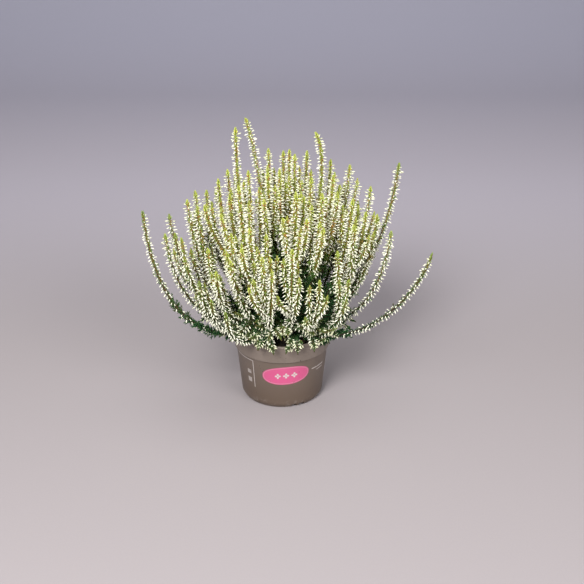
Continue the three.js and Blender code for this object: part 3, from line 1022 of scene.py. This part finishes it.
def label_group(settings):
    """Masks of the print on the pot, from the way round the wall and the height."""
    words = ("Width", "Height", "Middle", "Shift")
    sizes = {word: getattr(settings, "label_" + word.lower()) for word in words}
    group, nodes, start, end = new_group("Pot print", sizes, ["Ground", "Pale"])
    times, plus, minus = nodes.times, nodes.plus, nodes.minus
    x, y, z = nodes.place_parts()
    outside = nodes.span(plus(times(x, x), times(y, y)), (46 * MM) ** 2, (46.2 * MM) ** 2)
    round_wall = times(nodes.math("ARCTAN2", x, times(y, -1.0)), PRINT_RADIUS * MM)
    along_label = minus(round_wall, start.outputs["Shift"])
    height = minus(minus(z, start.outputs["Middle"]), times(along_label, LABEL_TILT))

    def oval(shrink):
        """1 inside a level oval, 0 outside it."""
        away = 0.0
        for offset, size in ((along_label, "Width"), (height, "Height")):
            half = minus(times(start.outputs[size], 0.5), shrink * MM)
            share = nodes.math("ABSOLUTE", nodes.math("DIVIDE", offset, half))
            away = plus(away, nodes.math("POWER", share, 2.3))
        return nodes.span(away, 0.98, 1.02, 1.0, 0.0)

    def band(value, middle, half):
        """1 within half a width of the middle."""
        away = nodes.math("ABSOLUTE", minus(value, middle * MM))
        return nodes.span(away, (half - 0.1) * MM, (half + 0.1) * MM, 1.0, 0.0)

    def bars(rows):
        """1 in any of the bars."""
        return nodes.most(*(times(band(z, *row[:2]), band(round_wall, *row[2:])) for row in rows))

    ground = oval(0)
    edge = times(oval(0.8), minus(1.0, oval(1.5)))

    # A row of small four-petalled blossoms
    pitch = BLOSSOM_PITCH * MM
    cell = minus(nodes.math("FRACT", plus(nodes.math("DIVIDE", along_label, pitch), 0.5)), 0.5)
    across = times(cell, pitch)
    away = nodes.math("SQRT", plus(times(across, across), times(height, height)))
    spin = times(nodes.math("ARCTAN2", height, across), 2.0)
    petal = plus(times(nodes.math("ABSOLUTE", nodes.math("COSINE", spin)), 2.4 * MM), 1.1 * MM)
    blossom = nodes.span(minus(away, petal), -0.12 * MM, 0.12 * MM, 1.0, 0.0)
    blossom = times(blossom, nodes.span(away, 0.6 * MM, 0.9 * MM))
    blossom = times(blossom, band(along_label, 0, BLOSSOM_PITCH * 1.5))

    lines = nodes.most(bars(PRINT_BARS), times(bars(PRINT_BLOCKS), 0.7))
    pale = nodes.most(times(edge, 0.35), blossom, times(lines, 0.8))
    nodes.feed(end.inputs["Ground"], times(ground, outside))
    nodes.feed(end.inputs["Pale"], times(pale, outside))
    return group


def pot_material(settings):
    material, nodes, shader = new_material("pot_plastic")
    grain = use_grain(nodes, 35.0, 1400.0)
    worn = [part * 1.28 + 0.01 for part in settings.plastic]
    shaded = [part * shade for part, shade in zip(settings.plastic, (0.56, 0.48, 0.41))]
    scuffed = (0.33, 0.29, 0.26)
    dirt = (0.03, 0.022, 0.018)
    z = nodes.place_parts()[2]
    # Painted shade: below the collar step the body turns darker and warmer than the collar, and darker still
    # towards the foot.
    shade_below_step = nodes.span(z, (STEP_Z + 0.5) * MM, (STEP_Z - 1.5) * MM, 0.0, 0.55)
    shade_below_step = nodes.plus(shade_below_step, nodes.span(z, STEP_Z * MM, 0.0, 0.0, 0.45))
    body = nodes.blend(nodes.span(grain["Coarse"], 0.35, 0.7, 0.0, 0.5), settings.plastic, worn)
    body = nodes.blend(shade_below_step, body, shaded)
    masks = use_group(nodes, label_group(settings))
    inked = nodes.blend(masks["Ground"], body, settings.label_pink)
    inked = nodes.blend(masks["Pale"], inked, settings.print_pale)
    near_ends = nodes.most(nodes.span(z, 14 * MM, 2 * MM), nodes.span(z, 76 * MM, 86 * MM))
    scuffs = nodes.times(nodes.span(nodes.noise(nodes.place(), 160.0, 5.0, 0.7), 0.5, 0.66), near_ends)
    inked = nodes.blend(nodes.times(scuffs, 0.4), inked, scuffed)
    specks = nodes.span(nodes.noise(nodes.place(), 260.0, 2.0, 0.4), 0.735, 0.75)
    nodes.feed(shader["Base Color"], nodes.blend(nodes.times(specks, 0.75), inked, dirt))
    roughness = nodes.span(grain["Coarse"], 0.3, 0.75, 0.42, 0.56)
    nodes.feed(shader["Roughness"], nodes.plus(roughness, nodes.times(scuffs, 0.2)))
    nodes.feed(shader["Normal"], nodes.bump(grain["Fine"], 0.0001, 0.5))
    return material


def peat_material(settings):
    material, nodes, shader = new_material("peat")
    grain = use_grain(nodes, 180.0, 1500.0)
    light = nodes.span(grain["Coarse"], 0.45, 0.75)
    nodes.feed(shader["Base Color"], nodes.blend(light, settings.dark, settings.light))
    shader["Roughness"].default_value = 0.95
    nodes.feed(shader["Normal"], nodes.bump(grain["Fine"], 0.0006, 0.9))
    return material


# Pot


def pot_outline():
    """The pot's wall in section as (radius, height), from the middle of its underside round to the inside."""
    lip_bottom = POT_HEIGHT - LIP_HEIGHT
    slope = 2
    inner_step = STEP_RADIUS - WALL
    return [
        (0, 0),
        (MIDDLE_RADIUS, 0),
        (MIDDLE_RADIUS + slope, FLOOR_LIFT),
        (FOOT_RADIUS - FOOT_WIDTH - slope, FLOOR_LIFT),
        (FOOT_RADIUS - FOOT_WIDTH, 0),
        (FOOT_RADIUS, 0),
        (BODY_BOTTOM_RADIUS, FOOT_ROUND),
        (BODY_TOP_RADIUS, STEP_Z - 0.5),
        (STEP_RADIUS, STEP_Z),
        (COLLAR_RADIUS, lip_bottom),
        (LIP_RADIUS, lip_bottom + 0.3),
        (LIP_RADIUS, POT_HEIGHT),
        (INNER_LIP_RADIUS, POT_HEIGHT),
        (inner_step, STEP_Z + INNER_STEP_RISE),
        (BODY_TOP_RADIUS - WALL, STEP_Z + INNER_STEP_RISE - 0.6),
        (INNER_FLOOR_RADIUS, FLOOR_TOP),
        (MIDDLE_RADIUS + slope - 0.6, FLOOR_TOP),
        (MIDDLE_RADIUS - 0.6, WALL),
        (0, WALL),
    ]


def turn_outline(bm, outline, steps):
    """Turns an outline in millimetres once about Z."""
    verts = [bm.verts.new((radius * MM, 0, height * MM)) for radius, height in outline]
    edges = [bm.edges.new(pair) for pair in zip(verts, verts[1:])]
    bmesh.ops.spin(
        bm, geom=verts + edges, cent=(0, 0, 0), axis=(0, 0, 1), angle=math.tau, steps=steps, use_merge=True
    )
    bmesh.ops.remove_doubles(bm, verts=bm.verts, dist=1e-6)
    bmesh.ops.recalc_face_normals(bm, faces=bm.faces)


def round_rings(bm, places, offset, segments):
    """Bevels the ring edges that pass through the given (radius, height) places, in millimetres."""
    rings = []
    for edge in bm.edges:
        ends = [(math.hypot(v.co.x, v.co.y) / MM, v.co.z / MM) for v in edge.verts]
        for place in places:
            if all(math.dist(end, place) < 0.05 for end in ends):
                rings.append(edge)
    bmesh.ops.bevel(
        bm, geom=rings, offset=offset * MM, segments=segments, profile=0.5, affect="EDGES", material=-1
    )


def cut_away(piece, cutters):
    """Takes the cutters' space out of a piece, and leaves a plain mesh."""
    tool = add_object("cutter", take_mesh("cutter", cutters))
    cut = piece.modifiers.new("cut", "BOOLEAN")
    cut.operation = "DIFFERENCE"
    cut.solver = "EXACT"
    cut.object = tool
    evaluated = piece.evaluated_get(bpy.context.evaluated_depsgraph_get())
    mesh = bpy.data.meshes.new_from_object(evaluated)
    piece.modifiers.remove(cut)
    piece.data = mesh
    bpy.data.objects.remove(tool)


class HEATHER_OT_add_pot(bpy.types.Operator):
    """Turn the pot, round its edges and cut its drain holes and foot notches"""

    bl_idname = "heather.add_pot"
    bl_label = "Add pot"

    def execute(self, context):
        settings = context.scene.heather_pot
        bm = bmesh.new()
        turn_outline(bm, pot_outline(), settings.turn_steps)
        lip_bottom = POT_HEIGHT - LIP_HEIGHT
        round_rings(bm, [(LIP_RADIUS, POT_HEIGHT), (INNER_LIP_RADIUS, POT_HEIGHT)], 0.55, 3)
        round_rings(bm, [(LIP_RADIUS, lip_bottom + 0.3), (COLLAR_RADIUS, lip_bottom)], 0.25, 2)
        round_rings(bm, [(STEP_RADIUS, STEP_Z), (BODY_TOP_RADIUS, STEP_Z - 0.5)], 0.18, 2)
        round_rings(bm, [(BODY_BOTTOM_RADIUS, FOOT_ROUND), (FOOT_RADIUS, 0)], 2, 4)
        cutters = bmesh.new()
        drain = {"radius1": DRAIN_RADIUS * MM, "radius2": DRAIN_RADIUS * MM, "depth": 16 * MM}
        for i in range(DRAIN_COUNT):
            angle = i / DRAIN_COUNT * math.tau
            place = Matrix.Translation(Vector((math.cos(angle), math.sin(angle), 0)) * DRAIN_CIRCLE * MM)
            bmesh.ops.create_cone(cutters, cap_ends=True, segments=24, matrix=place, **drain)
        for i in range(NOTCH_COUNT):
            angle = math.radians(NOTCH_FIRST_DEG - 90) + i / NOTCH_COUNT * math.tau
            for side in (-1, 1):
                width = (NOTCH_WIDTH - NOTCH_RIB) / 2
                size = Matrix.Diagonal((10 * MM, width * MM, NOTCH_HEIGHT * 2 * MM, 1))
                place = Matrix.Translation(Vector((FOOT_RADIUS, side * (width + NOTCH_RIB) / 2, 0)) * MM)
                bmesh.ops.create_cube(cutters, size=1, matrix=Matrix.Rotation(angle, 4, "Z") @ place @ size)
        piece = finish_piece(bm, "pot_shell", ["pot"], [pot_material(settings)])
        cut_away(piece, cutters)
        smooth_faces(piece.data)
        piece.data.set_sharp_from_angle(angle=math.radians(35))
        return {"FINISHED"}


class HEATHER_OT_add_peat(bpy.types.Operator):
    """Fill the pot with lumpy peat and scatter crumbs over it"""

    bl_idname = "heather.add_peat"
    bl_label = "Add peat"

    def execute(self, context):
        settings = context.scene.heather_peat
        random_source = random.Random(3)
        edge = mix(STEP_RADIUS, COLLAR_RADIUS, (PEAT_EDGE - STEP_Z) / COLLAR_HEIGHT) - WALL - 0.4
        outline = [(0, FLOOR_TOP + 0.4), (INNER_FLOOR_RADIUS - 0.7, FLOOR_TOP + 0.4)]
        outline += [(BODY_TOP_RADIUS - WALL - 0.6, STEP_Z + 1), (edge, PEAT_EDGE - 1)]
        rings = np.linspace(0.99, 0, 26)
        outline += [(edge * share, PEAT_EDGE + PEAT_CROWN * (1 - share)) for share in rings]
        bm = bmesh.new()
        turn_outline(bm, outline, 96)
        for vertex in bm.verts:
            if vertex.co.z > (PEAT_EDGE - 0.5) * MM:
                lump = noise.fractal(vertex.co * 110, 1.0, 2.0, 4)
                vertex.co.z += lump * settings.bump
        for _ in range(settings.crumbs):
            angle = random_source.uniform(0, math.tau)
            radius = (edge - 2.5) * math.sqrt(random_source.random())
            x, y = radius * math.cos(angle), radius * math.sin(angle)
            size = random_source.uniform(0.4, 1.3) * MM
            spot = Vector((x, y, peat_top(x, y))) * MM
            turned = Euler([random_source.uniform(0, 6) for _ in range(3)]).to_matrix().to_4x4()
            squashed = Matrix.Diagonal((1, random_source.uniform(0.5, 1), random_source.uniform(0.4, 0.8), 1))
            bmesh.ops.create_icosphere(
                bm, subdivisions=1, radius=size, matrix=Matrix.Translation(spot) @ turned @ squashed
            )
        piece = finish_piece(bm, "peat_fill", ["peat"], [peat_material(settings)])
        smooth_faces(piece.data)
        return {"FINISHED"}


class HEATHER_OT_add_flowering_stems(bpy.types.Operator):
    """Grow every flowering stem, each with its fork, leaves, buds and growing tip"""

    bl_idname = "heather.add_flowering_stems"
    bl_label = "Add flowering stems"

    def execute(self, context):
        build_stems(context.scene.heather_stems, lambda stem: not is_spray(stem), "flowering_stem")
        return {"FINISHED"}


class HEATHER_OT_add_low_sprays(bpy.types.Operator):
    """Grow the low leafy sprays that hang over the lip"""

    bl_idname = "heather.add_low_sprays"
    bl_label = "Add low sprays"

    def execute(self, context):
        build_stems(context.scene.heather_stems, is_spray, "low_spray")
        return {"FINISHED"}


class HEATHER_OT_add_stage(bpy.types.Operator):
    """Set up the floor with its curved backdrop, the soft lights and the camera"""

    bl_idname = "heather.add_stage"
    bl_label = "Add stage"

    def execute(self, context):
        settings = context.scene.heather_stage
        bm = bmesh.new()
        profile = [(-3.0, 0.0), (1.4, 0.0)]
        profile += [(1.4 + math.sin(turn), 1 - math.cos(turn)) for turn in np.linspace(0.1, math.pi / 2, 14)]
        profile.append((2.4, 4.0))
        verts = [bm.verts.new((-4, y, z)) for y, z in profile]
        edges = [bm.edges.new(pair) for pair in zip(verts, verts[1:])]
        grown = bmesh.ops.extrude_edge_only(bm, edges=edges)["geom"]
        bmesh.ops.translate(bm, vec=(8, 0, 0), verts=only(grown, bmesh.types.BMVert))
        bmesh.ops.recalc_face_normals(bm, faces=bm.faces)
        if sum(face.normal.z for face in bm.faces) < 0:
            bmesh.ops.reverse_faces(bm, faces=bm.faces)
        floor = add_object("studio_floor", take_mesh("studio_floor", bm))
        smooth_faces(floor.data)
        floor.data.materials.append(floor_material(settings))

        add_soft_light("key_light", (-0.6, -1.6, 1.5), 0.8, 68)
        add_soft_light("fill_light", (1.3, -1.5, 1.1), 1.2, 30)
        add_soft_light("top_light", (0.1, 0.2, 2.1), 1.5, 16)
        world = bpy.data.worlds.new("soft_room")
        world.use_nodes = True
        background = world.node_tree.nodes["Background"].inputs
        background["Color"].default_value = (0.86, 0.86, 0.92, 1)
        background["Strength"].default_value = 0.11
        context.scene.world = world
        context.scene.view_settings.view_transform = "Standard"

        camera = add_object("camera", bpy.data.cameras.new("camera"))
        camera.data.lens = settings.lens
        camera.data.sensor_width = 36
        camera.location = (settings.offset, -settings.distance, settings.height)
        camera.rotation_euler = (math.pi / 2 - settings.pitch, 0, 0)
        context.scene.camera = camera
        return {"FINISHED"}


def add_soft_light(name, place, size, power):
    """A square soft light that faces the plant."""
    light = bpy.data.lights.new(name, "AREA")
    light.shape = "SQUARE"
    light.size = size
    light.energy = power
    lamp = add_object(name, light)
    lamp.location = place
    aim = Vector((0, 0, 0.12)) - Vector(place)
    lamp.rotation_euler = aim.to_track_quat("-Z", "Y").to_euler()


def floor_material(settings):
    material, nodes, shader = new_material("studio_floor")
    parts = nodes.place_parts()
    grain = use_grain(nodes, 25.0, 500.0)
    # Painted light and shade: the floor's colour is darker near the pot and lighter behind it, standing in for the
    # way the light falls on the floor.
    back = nodes.plus(parts[1], nodes.times(parts[2], 1.2))
    floor = nodes.blend(nodes.span(back, 0.05, 0.8), settings.floor, settings.floor_back)
    painted = nodes.blend(nodes.span(back, 0.8, 2.0), floor, settings.backdrop)
    mottle = nodes.span(grain["Fine"], 0.3, 0.7, 0.0, 0.06)
    nodes.feed(shader["Base Color"], nodes.blend(mottle, painted, (0.2, 0.19, 0.2)))
    shader["Roughness"].default_value = 0.7
    return material


class HEATHER_PT_sidebar(bpy.types.Panel):
    """Lists the heather's pieces and their settings"""

    bl_idname = "HEATHER_PT_sidebar"
    bl_label = "Potted heather"
    bl_space_type = "VIEW_3D"
    bl_region_type = "UI"
    bl_category = "Heather"

    def draw(self, context):
        for settings_name, operators in PANEL_ROWS:
            box = self.layout.box()
            for operator in operators:
                box.operator(operator.bl_idname)
            settings = getattr(context.scene, settings_name)
            for name in settings.__annotations__:
                box.prop(settings, name)


PANEL_ROWS = [
    ("heather_pot", [HEATHER_OT_add_pot]),
    ("heather_peat", [HEATHER_OT_add_peat]),
    ("heather_stems", [HEATHER_OT_add_flowering_stems, HEATHER_OT_add_low_sprays]),
    ("heather_stage", [HEATHER_OT_add_stage]),
]
SETTINGS = {
    "heather_pot": PotSettings,
    "heather_peat": PeatSettings,
    "heather_stems": StemSettings,
    "heather_stage": StageSettings,
}
OPERATORS = [operator for _, operators in PANEL_ROWS for operator in operators]


def register():
    for name, group in SETTINGS.items():
        bpy.utils.register_class(group)
        setattr(bpy.types.Scene, name, PointerProperty(type=group))
    for item in (*OPERATORS, HEATHER_PT_sidebar):
        bpy.utils.register_class(item)


def unregister():
    for item in (HEATHER_PT_sidebar, *reversed(OPERATORS)):
        bpy.utils.unregister_class(item)
    for name, group in SETTINGS.items():
        delattr(bpy.types.Scene, name)
        bpy.utils.unregister_class(group)


def main():
    register()
    bpy.ops.heather.add_pot()
    bpy.ops.heather.add_peat()
    bpy.ops.heather.add_flowering_stems()
    bpy.ops.heather.add_low_sprays()
    bpy.ops.heather.add_stage()
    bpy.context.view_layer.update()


if __name__ == "__main__":
    main()
